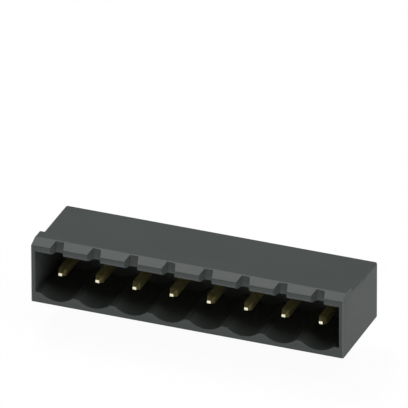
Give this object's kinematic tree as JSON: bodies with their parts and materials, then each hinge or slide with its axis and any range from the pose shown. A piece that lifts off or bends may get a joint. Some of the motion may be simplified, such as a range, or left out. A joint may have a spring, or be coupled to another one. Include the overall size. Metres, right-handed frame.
{
  "type": "pin header",
  "caption": "Right-angle shrouded pin header for a circuit board, with square plug contacts, a scalloped socket floor and a notched latching ledge along the mouth.",
  "frame": {"origin": "middle of the row of solder legs, on the underside of the housing where it rests on the board", "axes": "+X along the row of contacts, -Y out of the socket towards the plug, +Z away from the board"},
  "size_m": [0.042, 0.012, 0.0125],
  "materials": {
    "housing_plastic": "fine matt moulded dark grey",
    "contact_metal": "pale bright plating"
  },
  "bodies": {
    "root": {"housing": "housing_plastic", "contact_pin_1": "contact_metal", "contact_pin_2": "contact_metal", "contact_pin_3": "contact_metal", "contact_pin_4": "contact_metal", "contact_pin_5": "contact_metal", "contact_pin_6": "contact_metal", "contact_pin_7": "contact_metal", "contact_pin_8": "contact_metal"}
  },
  "joints": []
}
